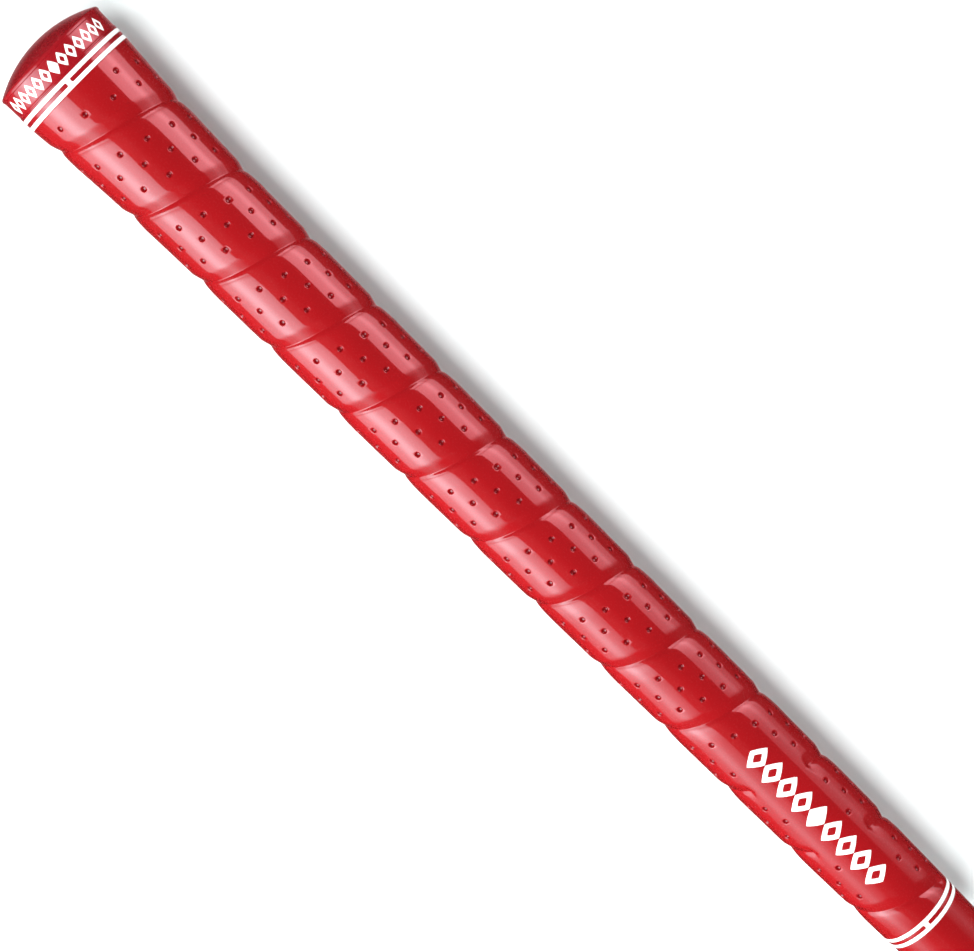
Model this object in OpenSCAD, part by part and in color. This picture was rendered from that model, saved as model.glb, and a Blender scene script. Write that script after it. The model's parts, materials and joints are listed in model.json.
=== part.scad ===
// Golf grip. A one-piece moulded rubber sleeve carries a spiral wrap groove, and a harder
// moulded cap is keyed into its butt end. White paint fills the ring lines and the marks.
// Millimetres. The origin is the centre of the bore's mouth: the shaft leaves along +X,
// the cap is towards -X, and +Z is the front, where the marks and the ring links are.

/* [Sleeve] */
// Overall length, from the mouth to the top of the cap's dome
grip_len = 270; // [262:1:280]
// Radius of the tapered body where its taper line meets the mouth
mouth_r = 9.25; // [9:0.01:9.6]
// Growth in radius of the taper line, per millimetre towards the cap
taper_rate = 0.00918; // [0.008:0.0001:0.012]
// How much the body narrows at the mouth, below the taper line
neck_drop = 0.45; // [0.2:0.05:0.5]
// Length over which it narrows
neck_len = 45; // [30:1:60]
// How much the body flares up to meet the cap, above the taper line
flare_rise = 1.55; // [1:0.05:2]
// Length of the flare, measured from the cap's seam
flare_len = 53; // [40:1:70]
// Power that shapes the flare
flare_power = 2.56; // [2:0.01:3]

/* [Shaft socket] */
// Radius of the bore, for a shaft with a 0.600 inch butt
bore_r = 7.62; // [7.35:0.01:7.7]
// Thickness of the cap's end wall, which the shaft stops against
end_wall = 6; // [4:0.5:7]
// Radius of the vent hole through the end wall
vent_r = 1.8; // [1.5:0.1:2.5]

/* [Wrap groove] */
// Distance along the grip from one turn to the next
wrap_pitch = 18.95; // [17:0.05:21]
// Distance from the mouth to the groove's valley at the front of its first turn
first_valley_z = 246.8; // [245:0.1:249]
// Turn at which the groove starts, counted from the front of the first turn
groove_start = -0.38; // [-0.38:0.01:0]
// Turn at which the groove runs out at the mouth rings
groove_end = 12.18; // [12.1:0.01:12.18]
// Depth of the valley below the surface
groove_depth = 0.65; // [0.4:0.05:0.7]
// Width of the steep riser, on the mouth side of the valley
riser_w = 1.6; // [1:0.1:2]
// Width of the gentle slope, on the cap side of the valley
slope_w = 4; // [3:0.1:4.5]
// Turns over which the groove fades out at each end
fade_turns = 0.04; // [0.03:0.01:0.06]
// Angle either side of the front that the groove leaves plain for the sleeve mark
panel_half_angle = 34; // [30:1:40]
// The turns that the plain panel interrupts
panel_turns = [10, 11];

/* [End cap] */
// Radius of the skirt at its top corner
cap_r = 13.4; // [13.3:0.05:13.6]
// Distance from the dome's top to the seam with the sleeve
cap_h = 12.1; // [12:0.1:12.4]
// Height of the dome above the skirt's corner
dome_h = 3.6; // [3:0.1:4]
// Rounding of the corner between skirt and dome
corner_r = 0.8; // [0.5:0.1:1]
// Length of the spigot that goes into the sleeve
spigot_len = 8; // [6:0.5:10]
// Radius of the spigot
spigot_r = 10; // [9.8:0.05:10.2]
// Height of the key rib round the spigot above the spigot's surface
key_h = 0.5; // [0.3:0.05:0.6]
// Width of the key rib
key_w = 2.4; // [1.5:0.1:3]

/* [Painted lines and marks] */
// Width of each ring line
line_w = 0.9; // [0.7:0.05:1]
// Distance between the two ring lines of a pair, centre to centre
line_gap = 1.8; // [1.6:0.05:2]
// Distance from the mouth to the centre of the mouth's ring pair
mouth_rings_z = 12.9; // [12.8:0.1:13.6]
// Depth of the paint-filled channels
paint_depth = 0.3; // [0.2:0.05:0.35]
// How far the paint lies below the rubber
paint_drop = 0.03; // [0.01:0.01:0.05]
// Width round the grip of the link between the lines of a pair
link_w = 1.1; // [0.8:0.1:1.5]
// Depth of the plain band that the cap's marks lie in
band_depth = 0.12; // [0.08:0.01:0.15]
// Number of diamonds in the sleeve's mark
sleeve_diamonds = 9; // [5:1:9]
// Height of the sleeve's diamonds, across the grip
sleeve_diamond_h = 6.1; // [5:0.1:6.4]
// Length of the row of diamonds on the sleeve
sleeve_mark_len = 40.5; // [38:0.5:42]
// Distance from the mouth to the middle of the row
sleeve_mark_z = 46.5; // [45:0.5:48]
// Number of diamonds in the cap's mark
cap_diamonds = 13; // [9:2:13]
// Height of the cap's diamonds, along the grip
cap_diamond_h = 3.5; // [3:0.1:3.7]
// Angle round the cap that its row of diamonds spans
cap_mark_angle = 132; // [120:1:135]
// Stroke of the diamonds as a share of their height
diamond_stroke = 0.17; // [0.14:0.01:0.2]

/* [Hidden] */
$fn = 96;
// Overshoot of a cutter past the face that it opens
cut = 1;
seam_z = grip_len - cap_h;
skirt_top_z = grip_len - dome_h;
seat_z = grip_len - end_wall;
spigot_z = seam_z - spigot_len;
cap_rings_z = seam_z + (line_gap + line_w) / 2;
dome_r = (cap_r * cap_r + dome_h * dome_h) / (2 * dome_h);
corner_steps = 5;
// The band between the cap's upper ring line and its corner, and the plain edges it leaves
band_edge_low = 0.7;
band_edge_high = 0.1;
band_low_z = cap_rings_z + (line_gap + line_w) / 2 + band_edge_low;
band_high_z = skirt_top_z - corner_r - band_edge_high;
// The key rib's two sides, up from the spigot's end
key_low_z = spigot_z + 0.5 * key_w;
key_high_z = key_low_z + key_w;
// Share of its place in a row that each diamond fills, on the sleeve and on the cap
sleeve_row_fill = 0.94;
cap_row_fill = 0.9;
// How far inside the surface the diamonds' prisms start, on the sleeve and on the cap
sleeve_prism_in = 3;
cap_prism_in = 1;
// Power that shapes the neck
neck_power = 1.5;
// The mouth's edges: a rounded outer one and a chamfered lead-in for the shaft
edge_round = 0.3;
lead_in = 0.25;
// Samples along the flare and the neck, where the outline is curved
outline_steps = 12;
// Samples of the groove in each turn, and how far its cutter stands out of the surface
groove_steps = 24;
cutter_rise = 0.4;

// Radius of the body at a distance z from the mouth
function taper_line(z) = mouth_r + taper_rate * z;
function flare(z) = flare_rise * pow(max(0, (z - seam_z + flare_len) / flare_len), flare_power);
function neck(z) = neck_drop * pow(max(0, 1 - z / neck_len), neck_power);
function body_r(z) = taper_line(z) + flare(z) - neck(z);
// Radius of the cap's skirt, a plain cone from the seam to its corner
function skirt_r(z) = body_r(seam_z)
    + (cap_r - body_r(seam_z)) * (z - seam_z) / (skirt_top_z - seam_z);
function valley_z(turn) = first_valley_z - wrap_pitch * turn;
function lerp(a, b, t) = a + (b - a) * t;

// Lays a shape that was built up along +Z into the grip's frame
module lay_down() rotate([0, -90, 0]) children();

// A solid of revolution whose outline is [radius, distance from the mouth] points. Its seam
// is at the back, away from the links and marks.
module turned(points) rotate([0, 0, 180]) rotate_extrude() polygon(points);

// The shell just under a surface, between two depths, from z0 to z1
module conical_shell(r0, r1, z0, z1, shallow, deep) {
    turned([[r0 - deep, z0], [r0 - shallow, z0], [r1 - shallow, z1], [r1 - deep, z1]]);
}

// One stretch of the groove's cutter: a three-sided bar that follows the wrap. Each section has
// its middle corner in the valley, so its two faces under the surface are riser and slope.
module groove_cutter(from_turn, to_turn) {
    steps = ceil((to_turn - from_turn) * groove_steps);
    over_riser = riser_w * cutter_rise / groove_depth;
    over_slope = slope_w * cutter_rise / groove_depth;
    // 0 where the valley has faded out to the surface, 1 where it has its full depth
    function fade(turn) = min(1, (turn - from_turn) / fade_turns, (to_turn - turn) / fade_turns);
    function place(turn, dz, dr) = let (z = valley_z(turn) + dz, r = body_r(z) + dr, a = turn * 360)
        [r * cos(a), r * sin(a), z];
    function section(turn) = [
        place(turn, -riser_w - over_riser, cutter_rise),
        place(turn, 0, lerp(cutter_rise / 2, -groove_depth, fade(turn))),
        place(turn, (slope_w + over_slope) * lerp(0.5, 1, fade(turn)), cutter_rise)];
    points = [for (i = [0 : steps]) each section(lerp(from_turn, to_turn, i / steps))];
    sides = [for (i = [0 : steps - 1]) for (j = [0 : 2])
        let (a = 3 * i + j, b = 3 * i + (j + 1) % 3)
        each [[a, b + 3, b], [a, a + 3, b + 3]]];
    last = 3 * steps;
    polyhedron(points, concat([[0, 1, 2]], sides, [[last + 2, last + 1, last]]));
}

// The groove in full, broken where it would cross the sleeve's plain panel
module groove() {
    half = panel_half_angle / 360;
    groove_cutter(groove_start, panel_turns[0] - half);
    groove_cutter(panel_turns[0] + half, panel_turns[1] - half);
    groove_cutter(panel_turns[1] + half, groove_end);
}

// The two lines of a ring pair and the link that joins them at the front: a band with the
// strip between its lines taken out, all the way round except at the link
module ring_pair(r0, r1, mid_z, shallow, deep) {
    low = mid_z - (line_gap + line_w) / 2;
    high = mid_z + (line_gap + line_w) / 2;
    difference() {
        conical_shell(r0, r1, low, high, shallow, deep);
        difference() {
            conical_shell(r0, r1, low + line_w, high - line_w, shallow - cut, deep + cut);
            translate([0, -link_w / 2, low]) cube([r1 + 3 * cut, link_w, high - low]);
        }
    }
}

// A diamond outline, or a solid diamond for the middle of a row
module diamond(w, h, solid) {
    stroke = diamond_stroke * max(w, h);
    inner = 1 - stroke * sqrt(1 / (w * w) + 1 / (h * h)) * 2;
    difference() {
        polygon([[w / 2, 0], [0, h / 2], [-w / 2, 0], [0, -h / 2]]);
        if (!solid) scale([inner, inner])
            polygon([[w / 2, 0], [0, h / 2], [-w / 2, 0], [0, -h / 2]]);
    }
}

// Prisms of the sleeve's row of diamonds, standing out along the front
module sleeve_diamond_prisms() {
    pitch = sleeve_mark_len / sleeve_diamonds;
    prism_r = mouth_r - sleeve_prism_in;
    for (i = [0 : sleeve_diamonds - 1])
        translate([0, 0, sleeve_mark_z + (i - (sleeve_diamonds - 1) / 2) * pitch])
            translate([prism_r, 0, 0]) rotate([0, 90, 0]) linear_extrude(cap_r - prism_r)
                diamond(pitch * sleeve_row_fill, sleeve_diamond_h, i == (sleeve_diamonds - 1) / 2);
}

// Prisms of the cap's row of diamonds, each standing out at its own angle
module cap_diamond_prisms() {
    step = cap_mark_angle / cap_diamonds;
    mid_z = (band_low_z + band_high_z) / 2;
    width = 2 * cap_r * sin(step / 2) * cap_row_fill;
    prism_r = cap_r - cap_prism_in;
    for (i = [0 : cap_diamonds - 1])
        rotate([0, 0, (i - (cap_diamonds - 1) / 2) * step]) translate([0, 0, mid_z])
            translate([prism_r, 0, 0]) rotate([0, 90, 0]) linear_extrude(cap_prism_in + cut)
                diamond(cap_diamond_h, width, i == (cap_diamonds - 1) / 2);
}

module sleeve_marks(shallow, deep) {
    z0 = sleeve_mark_z - sleeve_mark_len / 2;
    z1 = sleeve_mark_z + sleeve_mark_len / 2;
    intersection() {
        conical_shell(body_r(z0), body_r(z1), z0, z1, shallow, deep);
        sleeve_diamond_prisms();
    }
}

module cap_marks(shallow, deep) {
    intersection() {
        conical_shell(skirt_r(band_low_z), skirt_r(band_high_z), band_low_z, band_high_z,
                      band_depth + shallow, band_depth + deep);
        cap_diamond_prisms();
    }
}

module mouth_rings(shallow, deep) {
    half = (line_gap + line_w) / 2;
    ring_pair(body_r(mouth_rings_z - half), body_r(mouth_rings_z + half), mouth_rings_z,
              shallow, deep);
}

module cap_rings(shallow, deep) {
    half = (line_gap + line_w) / 2;
    ring_pair(skirt_r(cap_rings_z - half), skirt_r(cap_rings_z + half), cap_rings_z,
              shallow, deep);
}

// Outline of the sleeve's outside, finer where it curves, from the mouth to the seam
function curved_run(z0, z1) = [for (i = [1 : outline_steps])
    let (z = lerp(z0, z1, i / outline_steps)) [body_r(z), z]];

module grip_sleeve() color([0.70, 0.09, 0.12]) lay_down() difference() {
    turned(concat(
        [[bore_r + lead_in, 0], [body_r(0) - edge_round, 0], [body_r(edge_round), edge_round]],
        curved_run(edge_round, neck_len),
        curved_run(seam_z - flare_len, seam_z),
        [[spigot_r, seam_z],
         [spigot_r, key_high_z], [spigot_r + key_h, key_high_z],
         [spigot_r + key_h, key_low_z], [spigot_r, key_low_z],
         [spigot_r, spigot_z], [bore_r, spigot_z],
         [bore_r, lead_in]]));
    groove();
    mouth_rings(-cut, paint_depth);
    sleeve_marks(-cut, paint_depth);
}

// The cap's rounded corner, from the skirt round to the dome
function corner(i) = let (a = 90 * i / corner_steps)
    [cap_r - corner_r * (1 - cos(a)), skirt_top_z - corner_r * (1 - sin(a))];
function dome(t) = let (r = (cap_r - corner_r) * (1 - t))
    [r, grip_len - dome_r + sqrt(dome_r * dome_r - r * r)];

module end_cap() color([0.55, 0.07, 0.13]) lay_down() difference() {
    turned(concat(
        [[bore_r, spigot_z], [spigot_r, spigot_z],
         [spigot_r, key_low_z], [spigot_r + key_h, key_low_z],
         [spigot_r + key_h, key_high_z], [spigot_r, key_high_z],
         [spigot_r, seam_z], [skirt_r(seam_z), seam_z],
         [skirt_r(band_low_z), band_low_z], [skirt_r(band_low_z) - band_depth, band_low_z],
         [skirt_r(band_high_z) - band_depth, band_high_z], [skirt_r(band_high_z), band_high_z]],
        [for (i = [0 : corner_steps - 1]) corner(i)],
        [for (i = [0 : corner_steps]) dome(lerp(0, 1 - vent_r / cap_r, i / corner_steps))],
        [[vent_r, dome(1 - vent_r / (cap_r - corner_r))[1]], [vent_r, seat_z], [bore_r, seat_z]]));
    cap_rings(-cut, paint_depth);
    cap_marks(-cut, paint_depth);
}

module cap_ring_fill() color("white") lay_down() cap_rings(paint_drop, paint_depth);
module cap_mark_fill() color("white") lay_down() cap_marks(paint_drop, paint_depth);
module mouth_ring_fill() color("white") lay_down() mouth_rings(paint_drop, paint_depth);
module sleeve_mark_fill() color("white") lay_down() sleeve_marks(paint_drop, paint_depth);

grip_sleeve();
end_cap();
cap_ring_fill();
cap_mark_fill();
mouth_ring_fill();
sleeve_mark_fill();
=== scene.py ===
"""Looks for a golf grip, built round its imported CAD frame.

The grip lies along X. The mouth of its shaft bore is at x = 0, the cap is towards -X, and +Z is
the moulded front with the marks. The grip's own lengths are in millimetres until place() turns
them into metres. The camera, the floor and the lights are in metres. z is the distance from the
mouth, and phi is the angle in degrees from the front towards +Y.
"""
import json
import math

import bmesh
import bpy
import numpy as np
from mathutils import Matrix, Vector


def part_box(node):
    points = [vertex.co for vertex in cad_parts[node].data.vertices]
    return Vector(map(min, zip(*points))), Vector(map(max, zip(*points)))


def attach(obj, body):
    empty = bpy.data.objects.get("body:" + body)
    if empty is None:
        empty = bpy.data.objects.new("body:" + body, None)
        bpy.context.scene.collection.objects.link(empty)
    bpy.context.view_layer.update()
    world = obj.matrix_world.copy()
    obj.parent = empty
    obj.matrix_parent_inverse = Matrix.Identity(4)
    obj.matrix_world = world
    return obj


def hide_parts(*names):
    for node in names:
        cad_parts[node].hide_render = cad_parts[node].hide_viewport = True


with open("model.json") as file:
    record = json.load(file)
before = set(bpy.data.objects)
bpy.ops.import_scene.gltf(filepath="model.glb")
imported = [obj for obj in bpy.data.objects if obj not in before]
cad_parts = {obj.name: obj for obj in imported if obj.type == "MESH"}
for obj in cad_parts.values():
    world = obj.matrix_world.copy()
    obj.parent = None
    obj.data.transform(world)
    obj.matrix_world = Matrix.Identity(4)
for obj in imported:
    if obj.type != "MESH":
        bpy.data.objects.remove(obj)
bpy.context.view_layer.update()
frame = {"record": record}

MM = 0.001
TURN = 360.0
TINY = 1e-9

# Sizes that the frame gives
MOUNTS = {mount["name"]: mount for mount in frame["record"]["mounts"]}
SEAM_Z = -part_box("grip_sleeve")[0].x / MM
TOP_Z = -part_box("end_cap")[0].x / MM
SPIGOT_Z = -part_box("end_cap")[1].x / MM
CAP_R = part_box("end_cap")[1].z / MM
BORE_R = MOUNTS["shaft_bore"]["dims"]["r_mm"]
SEAT_Z = MOUNTS["shaft_bore"]["dims"]["length_mm"]
VENT_R = MOUNTS["vent_hole"]["dims"]["r_mm"]
RING_HALF = (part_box("mouth_ring_fill")[1].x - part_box("mouth_ring_fill")[0].x) / 2 / MM
MOUTH_RINGS_Z = -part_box("mouth_ring_fill")[0].x / MM - RING_HALF
CAP_RINGS_Z = -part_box("cap_ring_fill")[0].x / MM - RING_HALF
SLEEVE_MARK = [-x / MM for x in (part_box("sleeve_mark_fill")[1].x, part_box("sleeve_mark_fill")[0].x)]
CAP_MARK = [-x / MM for x in (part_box("cap_mark_fill")[1].x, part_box("cap_mark_fill")[0].x)]

# The body's outline: a taper line, a flare up to the cap and a slight neck at the mouth
TAPER_R = 9.25
TAPER_RATE = 0.00918
FLARE_RISE = 1.55
FLARE_LEN = 53.0
FLARE_POWER = 2.56
NECK_DROP = 0.45
NECK_LEN = 45.0
NECK_POWER = 1.5

# The wrap groove. Its valley winds towards the mouth as phi grows. On its cap side a straight
# slope climbs out and rolls over onto the turn. On its mouth side a steep lip takes a share of
# the depth and a long roll-over takes the rest.
PITCH = 18.95
VALLEY_Z = 246.8
VALLEY_ROUND = 0.05
DEPTH = 0.65
SLOPE = 0.27
SLOPE_ROLL = 0.2
LIP_W = 1.2
LIP_POWER = 2
LIP_SHARE = 0.3
ROLL_W = 6.0
ROLL_POWER = 3

# The groove's two ends, in turns from VALLEY_Z, and the panel that two of its turns leave plain.
# Each end closes in a round and fades out, and the one at the mouth is drawn out longer.
GROOVE_START = -0.38
GROOVE_STOP = 12.2
STOP_STRETCH = 0.6
PANEL_TURNS = (10, 11)
PANEL_HALF_ANGLE = 34.0
GROOVE_R = 10.5
END_ROUND = 2.6
END_FADE = 1.4
END_MIN = 1e-6

# The sleeve's skin: columns round the grip, and rows across one turn of the wrap. The first rows
# are measured from the valley towards the cap, and the last ones back from the next valley.
COLS = 150
COL_STEP = TURN / COLS
COL_PHASE = -0.8
SKIN_START = -1.65
SKIN_TURNS = 14.95
SKIN_MARGIN = 0.45
SKIN_SPARE = 1.0
ROWS_NEAR_VALLEY = (0.0, 0.08, 0.25, 0.8, 1.4, 1.9, 2.3, 2.7, 3.2)
ROWS_NEAR_LIP = (3.2, 2.3, 1.6, 1.15, 0.75, 0.35, 0.10)
CUT_TOLERANCE = 1e-7

# Dimples: three rows to a turn, each in a block of four columns by four rows of the skin that
# rings of DIMPLE_SIDES vertices replace. DIMPLE_RINGS holds (radius, depth).
DIMPLE_COLS = 12
DIMPLE_SHIFT = 4
DIMPLE_ROWS = (13.9, 9.7, 5.4)
DIMPLE_SIDES = 16
FIRST_SIDE = 225.0
BLOCK = (-0.88, -0.44, 0.0, 0.44, 0.88)
BLOCK_HALF = 2
DIMPLE_RINGS = ((0.74, 0.0), (0.62, 0.05), (0.50, 0.24), (0.38, 0.40), (0.23, 0.47))
DIMPLE_DEPTH = 0.48
DIMPLES_OFF_SEAM = 3.3
DIMPLES_OFF_RINGS = 6.5
MARK_CLEAR_ANGLE = 29.0
MARK_CLEAR_END = 1.5
PITS_OFF_RINGS = 3.0
PIT_TOLERANCE = 0.1

# Edges of the sleeve, as (how far below the surface, distance along from the end)
SEAM_EDGE = ((0.0, 0.22), (0.0, 0.10), (0.10, 0.01))
MOUTH_EDGE = ((0.3, 0.0), (0.09, 0.09), (0.0, 0.3))
COLLAR_ROWS = (2.0, 5.0, 8.5, 11.0)
COLLAR_TOP_GAP = 0.12
BORE_EDGE = 0.3
BORE_ROWS = 14

# The cap: a skirt, a rounded corner and a shallow dome with a vent hole in its middle
SPIGOT_R = 10.0
SKIRT_TOP_Z = TOP_Z - 3.55
SEAM_GAP = 0.02
CORNER_R = 0.7
CORNER_START = 8.0
CORNER_STEPS = 6
DOME_RISE = 3.6
DOME_LIFT = 0.05
DOME_STEPS = 16
DOME_EDGE = 0.35
VENT_EDGE = ((0.1, 0.16), (0.0, 0.4), (0.0, 3.0))
SEAT_EDGE = 0.4

# A fine moulded line past the cap's rings, then the sunk band that its mark lies in
FINE_LINE_GAP = 0.42
FINE_LINE_HALF = 0.09
FINE_LINE_DEPTH = 0.10
BAND_GAP = 0.38
BAND_OFF_CORNER = 0.25
BAND_DEPTH = 0.12
BAND_EDGE_DEPTH = 0.11
BAND_LOW_EDGE = (-0.1, 0.05)
BAND_HIGH_EDGE = (-0.08, 0.04)
BAND_FLAT_GAP = 0.3
BAND_STEPS = 6

# White paint: ring lines in their channels, the links between them, and rows of diamonds.
# A section of a diamond holds (share of the way from its outer to its inner edge, lift).
LINE_W = 0.9
CHANNEL = 0.25
CHANNEL_GAP = 0.05
CHANNEL_LIP = 0.02
CHANNEL_SHOULDER = 0.1
PAINT_ROUND = 0.07
PAINT_BEVEL = 0.3
PAINT_FLOOR_GAP = 0.02
LINK_HALF = 0.56
LINK_FLARE = 0.34
LINK_FLARE_FROM = 0.35
LINK_FLARE_SCALE = 0.42
LINK_OVERLAP = 0.1
LINK_LAYERS = (0.012, -0.14)
LINK_GRID = 9
DIAMOND_POWER = 1.12
DIAMOND_POINTS = 48
DIAMOND_LIFT = 0.03
STROKE_SLANT = 1.25
FILLED_CORE = 0.02
OUTLINE_SECTION = ((0.0, -0.16), (0.02, -0.03), (0.07, -0.006), (0.16, 0.0), (0.5, 0.0),
                   (0.84, 0.0), (0.93, -0.006), (0.98, -0.03), (1.0, -0.16))
FILLED_SECTION = ((0.0, -0.16), (0.01, -0.03), (0.04, -0.006), (0.09, 0.0), (0.4, 0.0),
                  (0.7, 0.0), (0.99, 0.0), (1.0, -0.16))
SLEEVE_DIAMONDS = 9
SLEEVE_DIAMOND_W = 6.1
SLEEVE_DIAMOND_SHARE = 0.97
SLEEVE_STROKE = 1.0
CAP_DIAMONDS = 13
CAP_MARK_ANGLE = 132.0
CAP_DIAMOND_SHARE = 0.93
CAP_STROKE = 0.5

# Angles in degrees above which an edge is drawn sharp
SLEEVE_SHARP = 55.0
CAP_SHARP = 40.0
PAINT_SHARP = 60.0

# Colours
WHITE = (1.0, 1.0, 1.0, 1.0)
RED_LIGHT = (0.30, 0.006, 0.0085, 1.0)
RED_DARK = (0.27, 0.0055, 0.0075, 1.0)
# The next colour is painted shade, which darkens the dimples towards their bottoms
RED_PIT_SHADE = (0.18, 0.003, 0.005, 1.0)
CRIMSON_LIGHT = (0.27, 0.007, 0.011, 1.0)
CRIMSON_DARK = (0.24, 0.006, 0.010, 1.0)
PAINT_LIGHT = (0.93, 0.93, 0.92, 1.0)
PAINT_DARK = (0.86, 0.87, 0.86, 1.0)
FLOOR_LIGHT = (0.855, 0.88, 0.88, 1.0)
FLOOR_DARK = (0.84, 0.865, 0.865, 1.0)
FILL_COLOUR = (0.4, 1.0, 1.0, 1.0)
GLOSS_ROOM = (0.03, 0.009, 0.009, 1.0)
GLOSS_BELOW = (0.40, 0.20, 0.21, 1.0)
LEFT_TINT = (0.70, 0.9, 0.98)
RIGHT_TINT = (1.0, 0.48, 0.54)
NO_TINT = (1.0, 1.0, 1.0)

# The camera looks down on the front, a little towards the mouth, and is rolled so that the grip
# runs from the top left to the bottom right. CAMERA_X is where it stands along the grip, and
# CAMERA_ASIDE is how far beside the axis, both in millimetres. CAMERA_FAR is in metres.
CAMERA_PHI = 5.0
CAMERA_TILT = 8.74
CAMERA_ROLL = 44.6
CAMERA_X = 23.2 - CAP_RINGS_Z
CAMERA_ASIDE = 1.50
CAMERA_FAR = 0.5968
CAMERA_LENS = 108.9
CAMERA_SENSOR = 36.0
CAMERA_CLIP_NEAR = 0.01
CAMERA_CLIP_FAR = 20.0

# The floor lies just under the cap. Its glow starts and is full at distances from the origin.
# SWEEP_START and SWEEP_FULL are how steeply down the gloss looks, from 0 level to 1 straight down.
FLOOR_HALF = 2.5
FLOOR_GAP = 0.0002
GLOW_START = 0.55
GLOW_FULL = 1.0
FILL_STRENGTH = 0.17
SWEEP_START = 0.82
SWEEP_FULL = 0.97

# A panel's power in watts is this times its area for a radiance of 1
POWER_PER_RADIANCE = 4.0
# Where a colour ramp's new points start out, before they are moved
HALFWAY = 0.5

# How the two softboxes fall off, as (position from 0 to 1, share of the brightness)
LEFT_ALONG = ((0.0, 0.9), (0.10, 1.0), (0.19, 0.5), (0.29, 1.0), (0.514, 1.0), (0.61, 0.74),
              (0.695, 0.48), (0.771, 0.31), (0.857, 0.2), (1.0, 0.0))
LEFT_ACROSS = ((0.0, 0.25), (0.25, 0.42), (0.5, 1.0), (0.75, 0.56), (1.0, 0.36))
RIGHT_ALONG = ((0.0, 0.9), (0.10, 1.0), (0.19, 0.5), (0.29, 1.0), (0.41, 1.0), (0.514, 0.85),
               (0.61, 0.6), (0.705, 0.4), (0.771, 0.22), (1.0, 0.0))
RIGHT_ACROSS = ((0.0, 0.66), (0.32, 0.74), (0.51, 1.0), (0.76, 0.5), (1.0, 0.4))


# ---------------------------------------------------------------- shape of the surface

def body_r(z):
    """Radius of the sleeve's body, without the wrap."""
    z = np.asarray(z, float)
    flare = FLARE_RISE * np.clip((z - SEAM_Z + FLARE_LEN) / FLARE_LEN, 0, None) ** FLARE_POWER
    neck = NECK_DROP * np.clip(1 - z / NECK_LEN, 0, None) ** NECK_POWER
    return TAPER_R + TAPER_RATE * z + flare - neck


def sleeve_at(z):
    """The body's radius at one z, as a plain number."""
    return float(body_r(z))


def skirt_at(z):
    """Radius of the cap's skirt at one z, as a plain number."""
    share = (z - SEAM_Z) / (SKIRT_TOP_Z - SEAM_Z)
    return sleeve_at(SEAM_Z) + (CAP_R - sleeve_at(SEAM_Z)) * share


def mm_per_degree(radius):
    return radius * math.pi / 180.0


def smooth(t):
    t = np.clip(t, 0.0, 1.0)
    return t * t * (3 - 2 * t)


def groove_end_mm(k, phi):
    """How far along turn k of the groove a point is from its nearest end, in millimetres."""
    turn = k + phi / TURN
    arc = mm_per_degree(GROOVE_R) * TURN
    end = np.minimum((turn - GROOVE_START) * arc, (GROOVE_STOP - turn) * arc * STOP_STRETCH)
    panel = (np.abs(phi) - PANEL_HALF_ANGLE) / TURN * arc
    return np.where(np.isin(k, PANEL_TURNS), np.minimum(end, panel), end)


def end_width(along):
    """Share of the groove's width, which closes in a round end."""
    return np.sqrt(np.clip(1 - (1 - np.clip(along / END_ROUND, 0, 1)) ** 2, END_MIN, 1))


def wrap_height(phi, z):
    """Height of the wrapped surface above the body's radius, always zero or below."""
    phi = (np.asarray(phi, float) + TURN / 2) % TURN - TURN / 2
    z = np.asarray(z, float)
    # q is the distance up to here from the valley below, and p is the one to the valley above
    k = np.ceil((VALLEY_Z - z) / PITCH - phi / TURN - TINY)
    q = z - (VALLEY_Z - PITCH * (k + phi / TURN))
    p = PITCH - q
    q = np.sqrt(q * q + VALLEY_ROUND ** 2) - VALLEY_ROUND
    p = np.sqrt(p * p + VALLEY_ROUND ** 2) - VALLEY_ROUND

    below = groove_end_mm(k, phi)
    roll = (end_width(below) * DEPTH / SLOPE - q) / SLOPE_ROLL
    slope = SLOPE / DEPTH * SLOPE_ROLL * np.logaddexp(0, roll) * smooth(below / END_FADE)

    above = groove_end_mm(k - 1, phi)
    lip = np.clip(1 - p / (LIP_W * end_width(above)), 0, 1) ** LIP_POWER
    roll_over = np.clip(1 - p / (ROLL_W * end_width(above)), 0, 1) ** ROLL_POWER
    riser = (LIP_SHARE * lip + (1 - LIP_SHARE) * roll_over) * smooth(above / END_FADE)
    return -DEPTH * np.maximum(slope, riser)


def place(phi, z, r):
    """Points in metres in the frame, from angles in degrees and millimetres."""
    a = np.radians(phi)
    return np.stack([-np.asarray(z) * MM, r * np.sin(a) * MM, r * np.cos(a) * MM], -1)


# ---------------------------------------------------------------- mesh helpers

def link_object(name, data):
    obj = bpy.data.objects.new(name, data)
    bpy.context.scene.collection.objects.link(obj)
    return obj


def shade_smooth(mesh, sharp_angle):
    mesh.polygons.foreach_set("use_smooth", [True] * len(mesh.polygons))
    mesh.set_sharp_from_angle(angle=math.radians(sharp_angle))


def make_object(name, points, faces, sharp_angle):
    mesh = bpy.data.meshes.new(name)
    mesh.from_pydata([tuple(p) for p in points], [], faces)
    obj = link_object(name, mesh)
    bm = bmesh.new()
    bm.from_mesh(mesh)
    bmesh.ops.recalc_face_normals(bm, faces=bm.faces)
    bm.to_mesh(mesh)
    bm.free()
    shade_smooth(mesh, sharp_angle)
    return obj


def closed_turning(profile):
    """Points and faces of a closed solid of revolution from (radius, z) points."""
    phi = COL_PHASE + np.arange(COLS) * TURN / COLS
    points = np.concatenate([place(phi, np.full(COLS, z), r) for r, z in profile])
    rows = len(profile)
    faces = []
    for i in range(rows):
        a = i * COLS
        b = (i + 1) % rows * COLS
        faces += [(a + j, a + (j + 1) % COLS, b + (j + 1) % COLS, b + j) for j in range(COLS)]
    return points, faces


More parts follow.
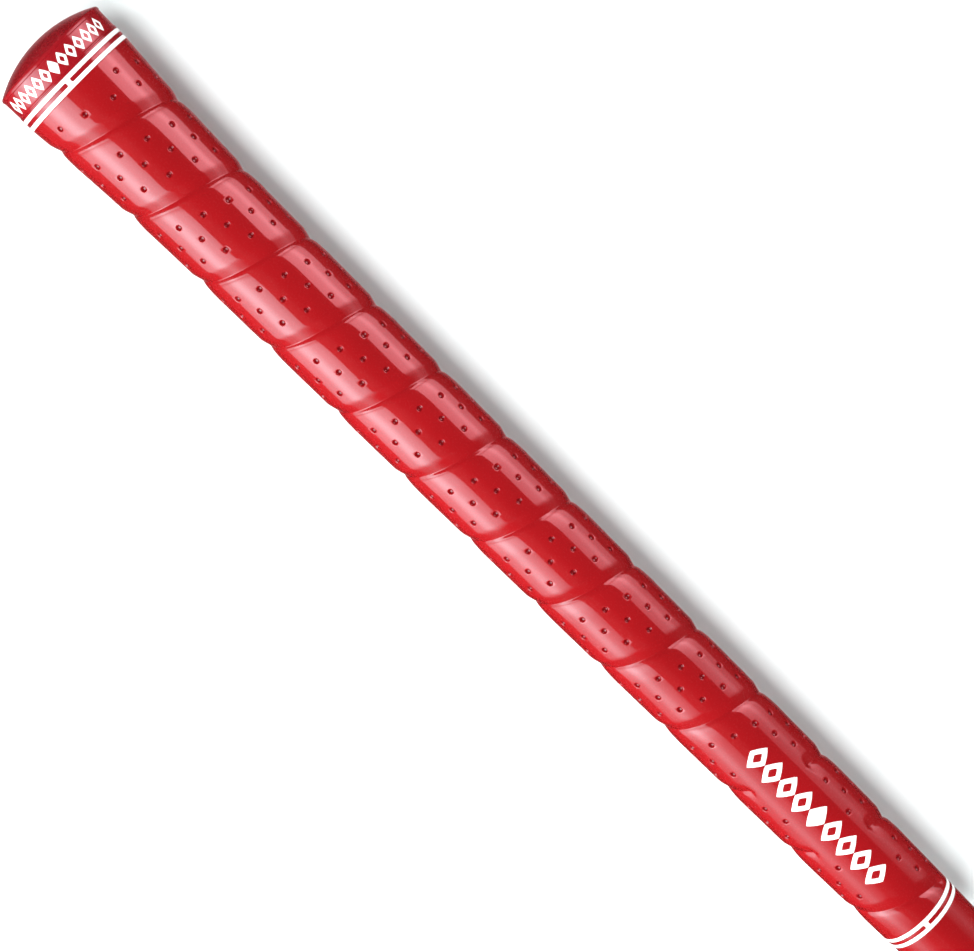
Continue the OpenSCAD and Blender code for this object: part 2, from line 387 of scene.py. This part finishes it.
def zip_loops(outer, inner):
    """Triangles between two closed loops, each a list of (angle, vertex) sorted by angle."""
    i = 0
    j = 0
    faces = []
    n = len(outer)
    m = len(inner)
    while i < n or j < m:
        next_outer = outer[i + 1][0] if i + 1 < n else outer[0][0] + TURN
        next_inner = inner[j + 1][0] if j + 1 < m else inner[0][0] + TURN
        if j >= m or (i < n and next_outer <= next_inner):
            faces.append((outer[i % n][1], outer[(i + 1) % n][1], inner[j % m][1]))
            i += 1
        else:
            faces.append((outer[i % n][1], inner[(j + 1) % m][1], inner[j % m][1]))
            j += 1
    return faces


def sorted_loop(verts):
    """(angle, vertex) of a loop of vertices round the axis, in order of angle."""
    return sorted((math.degrees(math.atan2(v.co.y, v.co.z)), v) for v in verts)


def channel_profile(r_at, low, high):
    """A paint channel between two z values, as (radius, z) points going up in z."""
    a = low - CHANNEL_GAP
    b = high + CHANNEL_GAP
    before = a - CHANNEL_SHOULDER
    after = b + CHANNEL_SHOULDER
    return [(r_at(before), before), (r_at(a) - CHANNEL_LIP, a), (r_at(a) - CHANNEL, a),
            (r_at(b) - CHANNEL, b), (r_at(b) - CHANNEL_LIP, b), (r_at(after), after)]


def ring_lines(mid):
    """The two (low, high) lines of a ring pair."""
    low = mid - RING_HALF
    high = mid + RING_HALF
    return ((low, low + LINE_W), (high - LINE_W, high))


# ---------------------------------------------------------------- the sleeve

def row_positions():
    """Rows across one turn, from the valley towards the cap, with a block for each dimple row."""
    rows = list(ROWS_NEAR_VALLEY)
    rows += [row + b for row in reversed(DIMPLE_ROWS) for b in BLOCK]
    rows += [PITCH - p for p in ROWS_NEAR_LIP]
    return np.array(rows)


def block_edge():
    """(column, row) steps round a dimple's block, in the order of the dimple's own vertices."""
    h = BLOCK_HALF
    steps = range(-h, h)
    edge = [(n, -h) for n in steps] + [(h, n) for n in steps]
    return edge + [(-n, h) for n in steps] + [(-h, -n) for n in steps]


def has_dimple(phi, z):
    if z > SEAM_Z - DIMPLES_OFF_SEAM or z < MOUTH_RINGS_Z + DIMPLES_OFF_RINGS:
        return False
    return not (abs(phi) < MARK_CLEAR_ANGLE and z < SLEEVE_MARK[1] + MARK_CLEAR_END)


def dimple_patch(phi, z, ring, start):
    """New points for one dimple, as (phi, z, height), and the faces that join them to ring."""
    degree = mm_per_degree(sleeve_at(z))
    sides = range(DIMPLE_SIDES)
    points = []
    for radius, depth in DIMPLE_RINGS:
        for n in sides:
            a = math.radians(FIRST_SIDE + TURN / DIMPLE_SIDES * n)
            points.append((phi + radius * math.cos(a) / degree, z + radius * math.sin(a), -depth))
    centre = start + len(points)
    points.append((phi, z, -DIMPLE_DEPTH))

    loops = [ring]
    loops += [[start + DIMPLE_SIDES * i + n for n in sides] for i in range(len(DIMPLE_RINGS))]
    faces = []
    for a, b in zip(loops, loops[1:]):
        faces += [(a[n - 1], a[n], b[n], b[n - 1]) for n in sides]
    faces += [(loops[-1][n - 1], loops[-1][n], centre) for n in sides]
    return points, faces


def wrapped_skin(low_z, high_z):
    """The outside of the sleeve past two planes, as one grid that follows the wrap."""
    rows = row_positions()
    n_rows = len(rows)
    first = int(SKIN_START * COLS)
    count = int(SKIN_TURNS * COLS)
    turn = ((first + np.arange(count)) * COL_STEP + COL_PHASE) / TURN
    z = (VALLEY_Z - PITCH * turn)[:, None] + rows[None, :]
    phi = np.repeat((turn * TURN)[:, None], n_rows, 1)

    def vertex(col, row):
        """Index of a grid point. Past the last row comes the valley of one turn before."""
        return col * n_rows + row if row < n_rows else (col - COLS) * n_rows

    replaced = set()
    dimple_points = []
    faces = []
    inside_block = range(-BLOCK_HALF, BLOCK_HALF)
    margin = 2 * BLOCK_HALF
    for i, row_q in enumerate(DIMPLE_ROWS):
        row = int(np.argmin(abs(rows - row_q)))
        for col in range(COLS + margin, count - margin):
            if (first + col - DIMPLE_SHIFT * i) % DIMPLE_COLS:
                continue
            at_phi = turn[col] * TURN
            at_z = z[col, row]
            if not has_dimple((at_phi + TURN / 2) % TURN - TURN / 2, at_z):
                continue
            ring = [vertex(col + across, row + up) for across, up in block_edge()]
            points, patch = dimple_patch(at_phi, at_z, ring, z.size + len(dimple_points))
            dimple_points += points
            faces += patch
            replaced.update((col + across, row + up)
                            for across in inside_block for up in inside_block)

    flat_z = z.ravel()
    for col in range(COLS, count - 1):
        for row in range(n_rows):
            quad = (vertex(col, row), vertex(col + 1, row),
                    vertex(col + 1, row + 1), vertex(col, row + 1))
            beyond = (flat_z[quad[0]] > high_z + SKIN_SPARE
                      or flat_z[quad[2]] < low_z - SKIN_SPARE)
            if (col, row) not in replaced and not beyond:
                faces.append(quad)

    dimples = np.array(dimple_points)
    all_phi = np.concatenate([phi.ravel(), dimples[:, 0]])
    all_z = np.concatenate([flat_z, dimples[:, 1]])
    heights = np.concatenate([np.zeros(z.size), dimples[:, 2]])
    r = body_r(all_z) + wrap_height(all_phi, all_z) + heights
    return place(all_phi, all_z, r), faces


def trimmed_skin(low_z, high_z):
    """A bmesh of the skin cut off at two planes, and its two open loops, high_z first."""
    points, faces = wrapped_skin(low_z, high_z)
    mesh = bpy.data.meshes.new("rubber_sleeve")
    mesh.from_pydata([tuple(p) for p in points], [], faces)
    bm = bmesh.new()
    bm.from_mesh(mesh)
    for plane_z, outwards in ((high_z, (-1, 0, 0)), (low_z, (1, 0, 0))):
        bmesh.ops.bisect_plane(bm, geom=bm.verts[:] + bm.edges[:] + bm.faces[:], dist=CUT_TOLERANCE,
                               plane_co=(-plane_z * MM, 0, 0), plane_no=outwards, clear_outer=True)
    bmesh.ops.delete(bm, geom=[v for v in bm.verts if not v.link_faces], context="VERTS")
    loops = [[v for v in bm.verts if abs(v.co.x + z * MM) < CUT_TOLERANCE and v.is_boundary]
             for z in (high_z, low_z)]
    return mesh, bm, loops


def sleeve_rings(low_z):
    """Rings that close the sleeve: its seam with the cap, the bore, the mouth, the collar and the
    paint channels up to low_z. Each is (radius, z, whether the wrap's height is added)."""
    rings = [(sleeve_at(SEAM_Z - along), SEAM_Z - along, True) for below, along in SEAM_EDGE[:-1]]
    below, along = SEAM_EDGE[-1]
    rings += [(sleeve_at(SEAM_Z) - below, SEAM_Z - along, False)]

    inside = [(SPIGOT_R + BORE_EDGE, SEAM_Z), (SPIGOT_R, SEAM_Z - BORE_EDGE), (SPIGOT_R, SPIGOT_Z)]
    inside += [(BORE_R, z) for z in np.linspace(SPIGOT_Z, BORE_EDGE, BORE_ROWS)]
    inside += [(BORE_R + BORE_EDGE, 0.0)]
    rings += [(r, z, False) for r, z in inside]

    outside = [(sleeve_at(z) - below, z) for below, z in MOUTH_EDGE]
    outside += [(sleeve_at(z), z) for z in COLLAR_ROWS]
    for low, high in ring_lines(MOUTH_RINGS_Z):
        outside += channel_profile(sleeve_at, low, high)
    collar_top = low_z - COLLAR_TOP_GAP
    outside += [(sleeve_at(collar_top), collar_top)]
    rings += [(r, z, True) for r, z in outside]
    return rings


def build_sleeve():
    low_z = MOUTH_RINGS_Z + RING_HALF + SKIN_MARGIN
    mesh, bm, loops = trimmed_skin(low_z, SEAM_Z - SKIN_MARGIN)
    phi = COL_PHASE + np.arange(COLS) * COL_STEP
    rings = []
    for radius, z, wrapped in sleeve_rings(low_z):
        heights = wrap_height(phi, np.full(COLS, z)) if wrapped else 0.0
        co = place(phi, np.full(COLS, z), radius + heights)
        rings.append([bm.verts.new(tuple(p)) for p in co])
    for a, b in zip(rings, rings[1:]):
        for j in range(COLS):
            bm.faces.new((a[j], a[(j + 1) % COLS], b[(j + 1) % COLS], b[j]))
    for loop, ring in ((loops[0], rings[0]), (loops[1], rings[-1])):
        for triangle in zip_loops(sorted_loop(loop), sorted_loop(ring)):
            bm.faces.new(triangle)
    bmesh.ops.recalc_face_normals(bm, faces=bm.faces)
    bm.to_mesh(mesh)
    bm.free()
    obj = link_object("rubber_sleeve", mesh)
    shade_smooth(mesh, SLEEVE_SHARP)
    mark_pits(mesh)
    return obj


def mark_pits(mesh):
    """Stores how deep in a dimple each vertex lies, from 0 on the surface to 1 at the bottom. The red
    rubber darkens its colour by it, as painted shade, and raises its roughness.
    """
    co = np.zeros(len(mesh.vertices) * 3)
    mesh.vertices.foreach_get("co", co)
    x, y, up = (co.reshape(-1, 3) / MM).T
    z = -x
    depth = body_r(z) + wrap_height(np.degrees(np.arctan2(y, up)), z) - np.hypot(y, up)
    # the bore and the paint channels are deep too, but they are no dimples
    past_dimples = z < MOUTH_RINGS_Z + PITS_OFF_RINGS
    depth[past_dimples | (depth > DIMPLE_DEPTH + PIT_TOLERANCE)] = 0
    layer = mesh.attributes.new("pit", "FLOAT", "POINT")
    layer.data.foreach_set("value", np.clip(depth / DIMPLE_DEPTH, 0, 1).astype(np.float32))


# ---------------------------------------------------------------- the cap

def skirt_profile(corner_z):
    """The skirt from the seam up: two paint channels, the fine line and the sunk band."""
    seam = SEAM_Z + SEAM_GAP
    low_line, high_line = ring_lines(CAP_RINGS_Z)
    profile = [(SPIGOT_R + BORE_EDGE, seam), (skirt_at(SEAM_Z) - CHANNEL, seam)]
    # the first channel is open to the seam, so only its far side is kept
    profile += channel_profile(skirt_at, *low_line)[3:]
    profile += channel_profile(skirt_at, *high_line)

    line_z = CAP_RINGS_Z + RING_HALF + FINE_LINE_GAP
    line_low = line_z - FINE_LINE_HALF
    line_high = line_z + FINE_LINE_HALF
    profile += [(skirt_at(line_low), line_low), (skirt_at(line_z) - FINE_LINE_DEPTH, line_z),
                (skirt_at(line_high), line_high)]

    band_low = line_z + BAND_GAP
    band_high = corner_z - BAND_OFF_CORNER
    rim_low = band_low + BAND_LOW_EDGE[0]
    rim_high = band_high + BAND_HIGH_EDGE[1]
    profile += [(skirt_at(rim_low), rim_low),
                (skirt_at(band_low) - BAND_EDGE_DEPTH, band_low + BAND_LOW_EDGE[1])]
    for z in np.linspace(band_low + BAND_FLAT_GAP, band_high - BAND_FLAT_GAP, BAND_STEPS):
        profile.append((skirt_at(z) - BAND_DEPTH, z))
    profile += [(skirt_at(band_high) - BAND_EDGE_DEPTH, band_high + BAND_HIGH_EDGE[0]),
                (skirt_at(band_high), rim_high)]
    return profile


def build_cap():
    dome_r = (CAP_R ** 2 + DOME_RISE ** 2) / (2 * DOME_RISE)
    apex_z = TOP_Z + DOME_LIFT
    dome_mid_z = apex_z - dome_r
    # the corner is an arc that meets the dome smoothly
    corner_mid_r = CAP_R - CORNER_R
    corner_z = dome_mid_z + math.sqrt((dome_r - CORNER_R) ** 2 - corner_mid_r ** 2)
    corner_end = math.degrees(math.atan2(corner_z - dome_mid_z, corner_mid_r))

    profile = [(SPIGOT_R, SPIGOT_Z), (SPIGOT_R, SEAM_Z - BORE_EDGE)]
    profile += skirt_profile(corner_z)
    for a in np.radians(np.linspace(CORNER_START, corner_end, CORNER_STEPS)):
        profile.append((corner_mid_r + CORNER_R * math.cos(a), corner_z + CORNER_R * math.sin(a)))
    rim_r = dome_r * math.cos(math.radians(corner_end))
    for radius in np.linspace(rim_r - DOME_EDGE, VENT_R + DOME_EDGE, DOME_STEPS):
        profile.append((radius, dome_mid_z + math.sqrt(dome_r ** 2 - radius ** 2)))
    profile += [(VENT_R + out, apex_z - down) for out, down in VENT_EDGE]
    profile += [(VENT_R, SEAT_Z), (BORE_R - SEAT_EDGE, SEAT_Z), (BORE_R, SEAT_Z - SEAT_EDGE),
                (BORE_R, (SEAT_Z + SPIGOT_Z) / 2), (BORE_R, SPIGOT_Z)]
    points, faces = closed_turning(profile)
    return make_object("rubber_cap", points, faces, CAP_SHARP)


# ---------------------------------------------------------------- white paint

def line_section(r_at, low, high):
    """Section of a painted line with rounded edges, as (radius, z) points."""
    bevel = PAINT_ROUND * PAINT_BEVEL
    sunk = CHANNEL - PAINT_FLOOR_GAP
    return [(r_at(low) - sunk, low), (r_at(low) - PAINT_ROUND, low),
            (r_at(low) - bevel, low + bevel), (r_at(low), low + PAINT_ROUND),
            (r_at(high), high - PAINT_ROUND), (r_at(high) - bevel, high - bevel),
            (r_at(high) - PAINT_ROUND, high), (r_at(high) - sunk, high)]


def link_pad(mid, r_at, start):
    """The pad that joins two lines at the front. Its sides flare where it meets them."""
    n = LINK_GRID
    low = ring_lines(mid)[0][1] - LINK_OVERLAP
    high = ring_lines(mid)[1][0] + LINK_OVERLAP
    degree = mm_per_degree(r_at(mid))
    points = []
    for lift in LINK_LAYERS:
        for i in range(n):
            z = low + (high - low) * i / (n - 1)
            off_middle = abs(i / (n - 1) * 2 - 1)
            flare = LINK_FLARE * max(0.0, off_middle - LINK_FLARE_FROM) ** 2 / LINK_FLARE_SCALE
            half = LINK_HALF + flare
            for j in range(n):
                side = j / (n - 1) * 2 - 1
                points.append(tuple(place(side * half / degree, z, r_at(z) + lift)))

    under = start + n * n
    faces = []
    for i in range(n - 1):
        for j in range(n - 1):
            a = i * n + j
            faces.append((start + a, start + a + 1, start + a + n + 1, start + a + n))
            faces.append((under + a + n, under + a + n + 1, under + a + 1, under + a))
    edge = list(range(n)) + [i * n + n - 1 for i in range(1, n)]
    edge += [(n - 1) * n + j for j in range(n - 2, -1, -1)]
    edge += [i * n for i in range(n - 2, 0, -1)]
    for a, b in zip(edge, edge[1:] + edge[:1]):
        faces.append((start + a, under + a, under + b, start + b))
    return points, faces


def build_ring_pair(name, mid, r_at):
    """Two painted lines and the link that joins them at the front."""
    points = []
    faces = []
    for low, high in ring_lines(mid):
        start = len(points)
        line_points, line_faces = closed_turning(line_section(r_at, low, high))
        points.extend(tuple(p) for p in line_points)
        faces.extend(tuple(start + i for i in face) for face in line_faces)
    pad_points, pad_faces = link_pad(mid, r_at, len(points))
    return make_object(name, points + pad_points, faces + pad_faces, PAINT_SHARP)


def diamond_loop(width, height):
    """Points of a diamond with slightly rounded corners and sides."""
    a = np.linspace(0, 2 * np.pi, DIAMOND_POINTS, endpoint=False)
    c = np.cos(a)
    s = np.sin(a)
    size = (np.abs(c) ** DIAMOND_POWER + np.abs(s) ** DIAMOND_POWER) ** (-1 / DIAMOND_POWER)
    return np.stack([c * size * width / 2, s * size * height / 2], -1)


def add_diamond(points, faces, centre_phi, centre_z, width, height, stroke, r_at, sunk):
    """One diamond of paint wrapped on the surface, with an open middle if it has a stroke. width
    is round the grip and height along it. sunk is how deep the surface lies below r_at."""
    outer = diamond_loop(width, height)
    core = 1 - 2 * stroke / min(width, height) * STROKE_SLANT if stroke else FILLED_CORE
    inner = outer * core
    section = OUTLINE_SECTION if stroke else FILLED_SECTION
    start = len(points)
    degree = mm_per_degree(r_at(centre_z))
    for t, lift in section:
        loop = outer * (1 - t) + inner * t
        z = centre_z + loop[:, 1]
        radius = np.array([r_at(v) for v in z]) + lift + DIAMOND_LIFT - sunk
        points.extend(tuple(p) for p in place(centre_phi + loop[:, 0] / degree, z, radius))
    n = DIAMOND_POINTS
    rows = len(section)
    for i in range(rows):
        a = start + i * n
        b = start + (i + 1) % rows * n
        faces.extend((a + j, a + (j + 1) % n, b + (j + 1) % n, b + j) for j in range(n))


def build_sleeve_mark():
    """A row of diamonds along the grip, the middle one filled."""
    points = []
    faces = []
    pitch = (SLEEVE_MARK[1] - SLEEVE_MARK[0]) / SLEEVE_DIAMONDS
    for i in range(SLEEVE_DIAMONDS):
        z = SLEEVE_MARK[0] + (i + 0.5) * pitch
        stroke = 0.0 if i == SLEEVE_DIAMONDS // 2 else SLEEVE_STROKE
        add_diamond(points, faces, 0.0, z, SLEEVE_DIAMOND_W, pitch * SLEEVE_DIAMOND_SHARE, stroke,
                    sleeve_at, 0.0)
    return make_object("sleeve_mark", points, faces, PAINT_SHARP)


def build_cap_mark():
    """A row of diamonds round the cap's front, the middle one filled."""
    points = []
    faces = []
    mid = (CAP_MARK[0] + CAP_MARK[1]) / 2
    height = CAP_MARK[1] - CAP_MARK[0]
    step = CAP_MARK_ANGLE / CAP_DIAMONDS
    width = step * CAP_DIAMOND_SHARE * mm_per_degree(skirt_at(mid))
    for i in range(CAP_DIAMONDS):
        phi = (i - (CAP_DIAMONDS - 1) / 2) * step
        stroke = 0.0 if i == CAP_DIAMONDS // 2 else CAP_STROKE
        add_diamond(points, faces, phi, mid, width, height, stroke, skirt_at, BAND_DEPTH)
    return make_object("cap_mark", points, faces, PAINT_SHARP)


# ---------------------------------------------------------------- materials

def new_material(name):
    material = bpy.data.materials.new(name)
    material.use_nodes = True
    nodes = material.node_tree.nodes
    return material, nodes, material.node_tree.links, nodes["Principled BSDF"]


def grey(value):
    return (value, value, value, 1.0)


def noise(nodes, links, coords, scale, detail):
    node = nodes.new("ShaderNodeTexNoise")
    node.inputs["Scale"].default_value = scale
    node.inputs["Detail"].default_value = detail
    links.new(coords.outputs["Object"], node.inputs["Vector"])
    return node.outputs["Fac"]


def ramp(nodes, links, source, low, high, start=0.3, end=0.7):
    """Maps a value onto a range of greys or colours. Noise keeps mostly within 0.3 to 0.7."""
    node = nodes.new("ShaderNodeValToRGB")
    elements = node.color_ramp.elements
    elements[0].position = start
    elements[1].position = end
    elements[0].color = low
    elements[1].color = high
    links.new(source, node.inputs["Fac"])
    return node.outputs["Color"]


def mix_towards(nodes, links, factor, source, colour):
    """Mixes a node's output towards one colour by a factor that varies."""
    mix = nodes.new("ShaderNodeMix")
    mix.data_type = "RGBA"
    links.new(factor, mix.inputs["Factor"])
    links.new(source, mix.inputs["A"])
    mix.inputs["B"].default_value = colour
    return mix.outputs["Result"]


def bump(nodes, links, height, strength, distance, under=None):
    """A layer of bump, over another one if there is one. distance is in metres."""
    node = nodes.new("ShaderNodeBump")
    node.inputs["Strength"].default_value = strength
    node.inputs["Distance"].default_value = distance
    links.new(height, node.inputs["Height"])
    if under:
        links.new(under, node.inputs["Normal"])
    return node.outputs["Normal"]


def rubber(name, light, dark, pit=None):
    """Glossy moulded rubber: mottled colour, a fine grain, and, if pit is given, duller dimples whose
    colour is darkened towards their bottoms as painted shade.
    """
    material, nodes, links, shader = new_material(name)
    coords = nodes.new("ShaderNodeTexCoord")
    patches = noise(nodes, links, coords, scale=70.0, detail=4.0)
    grain = noise(nodes, links, coords, scale=2600.0, detail=2.0)
    waves = noise(nodes, links, coords, scale=240.0, detail=2.0)
    colour = ramp(nodes, links, patches, dark, light)
    rough = ramp(nodes, links, grain, low=grey(0.20), high=grey(0.30))
    if pit:
        depth = nodes.new("ShaderNodeAttribute")
        depth.attribute_name = "pit"
        edge = ramp(nodes, links, depth.outputs["Fac"], grey(0.0), grey(1.0), start=0.1, end=0.7)
        # painted shade: the colour darkens towards the dimples' bottoms
        colour = mix_towards(nodes, links, edge, colour, pit)
        rough = mix_towards(nodes, links, edge, rough, colour=grey(0.34))
    links.new(colour, shader.inputs["Base Color"])
    links.new(rough, shader.inputs["Roughness"])
    shader.inputs["IOR"].default_value = 1.5
    shader.inputs["Specular IOR Level"].default_value = 0.08
    shader.inputs["Coat Weight"].default_value = 1.0
    shader.inputs["Coat Roughness"].default_value = 0.075
    shader.inputs["Coat IOR"].default_value = 1.65
    wavy = bump(nodes, links, waves, strength=0.2, distance=0.00004)
    grainy = bump(nodes, links, grain, strength=0.1, distance=0.00001, under=wavy)
    links.new(grainy, shader.inputs["Normal"])
    return material


def white_paint(name):
    """Satin paint with a fine grain."""
    material, nodes, links, shader = new_material(name)
    coords = nodes.new("ShaderNodeTexCoord")
    patches = noise(nodes, links, coords, scale=300.0, detail=4.0)
    grain = noise(nodes, links, coords, scale=3500.0, detail=2.0)
    colour = ramp(nodes, links, patches, PAINT_DARK, PAINT_LIGHT)
    rough = ramp(nodes, links, grain, low=grey(0.38), high=grey(0.5))
    links.new(colour, shader.inputs["Base Color"])
    links.new(rough, shader.inputs["Roughness"])
    links.new(bump(nodes, links, grain, strength=0.3, distance=0.00002), shader.inputs["Normal"])
    return material


def floor_material():
    """Matt pale floor."""
    material, nodes, links, shader = new_material("pale_floor")
    coords = nodes.new("ShaderNodeTexCoord")
    patches = noise(nodes, links, coords, scale=2.0, detail=2.0)
    colour = ramp(nodes, links, patches, FLOOR_DARK, FLOOR_LIGHT)
    links.new(colour, shader.inputs["Base Color"])
    shader.inputs["Roughness"].default_value = 0.9
    shader.inputs["Specular IOR Level"].default_value = 0.1
    # beyond the reach of the lights the floor glows like a lit sweep, so it stays pale to its edge
    reach = nodes.new("ShaderNodeVectorMath")
    reach.operation = "LENGTH"
    links.new(coords.outputs["Object"], reach.inputs[0])
    glow = ramp(nodes, links, reach.outputs["Value"], grey(0.0), grey(1.0), GLOW_START, GLOW_FULL)
    shader.inputs["Emission Color"].default_value = WHITE
    links.new(glow, shader.inputs["Emission Strength"])
    return material


# ---------------------------------------------------------------- camera, floor and light

def direction_round(angle):
    """Unit vector away from the axis at an angle in degrees from the front towards +Y."""
    a = math.radians(angle)
    return Vector((0, math.sin(a), math.cos(a)))


def make_camera():
    off_axis = direction_round(CAMERA_PHI)
    around = direction_round(CAMERA_PHI + TURN / 4)
    tilt = math.radians(CAMERA_TILT)
    along = Vector((math.cos(tilt), 0, 0)) + off_axis * math.sin(tilt)
    back = off_axis * math.cos(tilt) - Vector((math.sin(tilt), 0, 0))
    roll = math.radians(CAMERA_ROLL)
    right = along * math.cos(roll) + around * math.sin(roll)
    up = around * math.cos(roll) - along * math.sin(roll)

    data = bpy.data.cameras.new("camera")
    data.lens = CAMERA_LENS
    data.sensor_width = CAMERA_SENSOR
    data.clip_start = CAMERA_CLIP_NEAR
    data.clip_end = CAMERA_CLIP_FAR
    camera = link_object("camera", data)
    spot = Vector((CAMERA_X, 0, 0)) * MM + off_axis * CAMERA_FAR + around * CAMERA_ASIDE * MM
    turn = Matrix((right, up, back)).transposed().to_4x4()
    camera.matrix_world = Matrix.Translation(spot) @ turn
    bpy.context.scene.camera = camera


def make_floor():
    z = -CAP_R * MM - FLOOR_GAP
    corners = [(x * FLOOR_HALF, y * FLOOR_HALF, z) for x, y in ((-1, -1), (1, -1), (1, 1), (-1, 1))]
    mesh = bpy.data.meshes.new("floor")
    mesh.from_pydata(corners, [], [(0, 1, 2, 3)])
    floor = link_object("floor", mesh)
    mesh.materials.append(floor_material())
    floor.visible_glossy = False


def background(nodes, colour, strength):
    node = nodes.new("ShaderNodeBackground")
    node.inputs["Color"].default_value = colour
    node.inputs["Strength"].default_value = strength
    return node


def choose(nodes, links, factor, otherwise, chosen):
    """The chosen shader where factor is 1, and the other one where it is 0."""
    mix = nodes.new("ShaderNodeMixShader")
    links.new(factor, mix.inputs["Fac"])
    links.new(otherwise, mix.inputs[1])
    links.new(chosen, mix.inputs[2])
    return mix.outputs["Shader"]


def make_world():
    """A white room to the camera, a dim fill to matt surfaces, and to the gloss a dark red room
    over a paler sweep, which lights the grazing edges."""
    world = bpy.data.worlds.new("studio")
    bpy.context.scene.world = world
    world.use_nodes = True
    nodes = world.node_tree.nodes
    links = world.node_tree.links
    nodes.clear()
    seen = background(nodes, WHITE, 1.0)
    fill = background(nodes, FILL_COLOUR, FILL_STRENGTH)
    room = background(nodes, GLOSS_ROOM, 1.0)

    coords = nodes.new("ShaderNodeTexCoord")
    axes = nodes.new("ShaderNodeSeparateXYZ")
    links.new(coords.outputs["Generated"], axes.inputs["Vector"])
    down = nodes.new("ShaderNodeMath")
    down.operation = "MULTIPLY"
    down.inputs[1].default_value = -1.0
    links.new(axes.outputs["Z"], down.inputs[0])
    sweep = ramp(nodes, links, down.outputs["Value"], GLOSS_ROOM, GLOSS_BELOW, SWEEP_START, SWEEP_FULL)
    links.new(sweep, room.inputs["Color"])

    path = nodes.new("ShaderNodeLightPath")
    matt = choose(nodes, links, path.outputs["Is Camera Ray"], fill.outputs["Background"],
                  seen.outputs["Background"])
    both = choose(nodes, links, path.outputs["Is Glossy Ray"], matt, room.outputs["Background"])
    out = nodes.new("ShaderNodeOutputWorld")
    links.new(both, out.inputs["Surface"])


def shade_panel(data, along, across):
    """Makes a panel's brightness fall off along and across it."""
    data.use_nodes = True
    nodes = data.node_tree.nodes
    links = data.node_tree.links
    spot = nodes.new("ShaderNodeNewGeometry")
    axes = nodes.new("ShaderNodeSeparateXYZ")
    links.new(spot.outputs["Parametric"], axes.inputs["Vector"])
    both = nodes.new("ShaderNodeMath")
    both.operation = "MULTIPLY"
    for n, (axis, points) in enumerate((("X", along), ("Y", across))):
        node = nodes.new("ShaderNodeValToRGB")
        node.color_ramp.interpolation = "EASE"
        elements = node.color_ramp.elements
        while len(elements) < len(points):
            elements.new(HALFWAY)
        for element, (position, share) in zip(elements, points):
            element.position = position
            element.color = grey(share)
        links.new(axes.outputs[axis], node.inputs["Fac"])
        links.new(node.outputs["Color"], both.inputs[n])
    links.new(both.outputs["Value"], nodes["Emission"].inputs["Strength"])


def panel_light(name, angle, distance, width, x_low, x_high, radiance, colour=NO_TINT):
    """A long panel that faces the grip from an angle round it, measured from the camera."""
    out = direction_round(CAMERA_PHI + angle)
    data = bpy.data.lights.new(name, "AREA")
    data.shape = "RECTANGLE"
    data.size = x_high - x_low
    data.size_y = width
    data.energy = radiance * POWER_PER_RADIANCE * data.size * data.size_y
    data.color = colour
    lamp = link_object(name, data)
    side = out.cross(Vector((1, 0, 0)))
    turn = Matrix(((1, 0, 0), side, out)).transposed().to_4x4()
    middle = Vector(((x_low + x_high) / 2, 0, 0))
    lamp.matrix_world = Matrix.Translation(middle + out * distance) @ turn
    lamp.visible_camera = False
    return lamp


def softbox(name, along, across, **panel):
    """A panel behind a soft cloth, which only the gloss sees."""
    lamp = panel_light(name, distance=0.8, x_low=-0.6, x_high=0.45, **panel)
    lamp.visible_diffuse = False
    shade_panel(lamp.data, along, across)


def fill_light(name, **panel):
    """An even panel that lights the surfaces and isn't seen in the gloss."""
    lamp = panel_light(name, **panel)
    lamp.visible_glossy = False


def make_lights():
    softbox("left_softbox", LEFT_ALONG, LEFT_ACROSS, angle=-67.0, width=1.2, radiance=5.4,
            colour=LEFT_TINT)
    softbox("right_softbox", RIGHT_ALONG, RIGHT_ACROSS, angle=72.0, width=0.78, radiance=5.0,
            colour=RIGHT_TINT)
    fill_light("left_fill", angle=-80.0, distance=0.8, width=0.8, x_low=-0.9, x_high=0.7,
               radiance=4.4)
    fill_light("right_fill", angle=80.0, distance=0.8, width=0.6, x_low=-0.9, x_high=0.7,
               radiance=2.6)
    fill_light("overhead_key", angle=-20.0, distance=1.6, width=0.62, x_low=-1.3, x_high=1.1,
               radiance=6.9)
    fill_light("cap_fill", angle=0.0, distance=0.5, width=0.5, x_low=-1.3, x_high=-0.8,
               radiance=3.5)


# ---------------------------------------------------------------- the scene

def dress(obj, material, slot, *nodes):
    obj.data.materials.append(material)
    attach(obj, "root")
    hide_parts(*nodes)


make_camera()
make_floor()
make_world()
make_lights()

red = rubber("red_rubber", RED_LIGHT, RED_DARK, RED_PIT_SHADE)
crimson = rubber("crimson_rubber", CRIMSON_LIGHT, CRIMSON_DARK)
white = white_paint("white_paint")

dress(build_sleeve(), red, "red_rubber", "grip_sleeve")
dress(build_cap(), crimson, "crimson_cap", "end_cap")
dress(build_ring_pair("cap_ring_lines", CAP_RINGS_Z, skirt_at), white, "white_paint",
      "cap_ring_fill")
dress(build_ring_pair("mouth_ring_lines", MOUTH_RINGS_Z, sleeve_at), white, "white_paint",
      "mouth_ring_fill")
dress(build_cap_mark(), white, "white_paint", "cap_mark_fill")
dress(build_sleeve_mark(), white, "white_paint", "sleeve_mark_fill")

bpy.context.scene.view_settings.view_transform = "Standard"
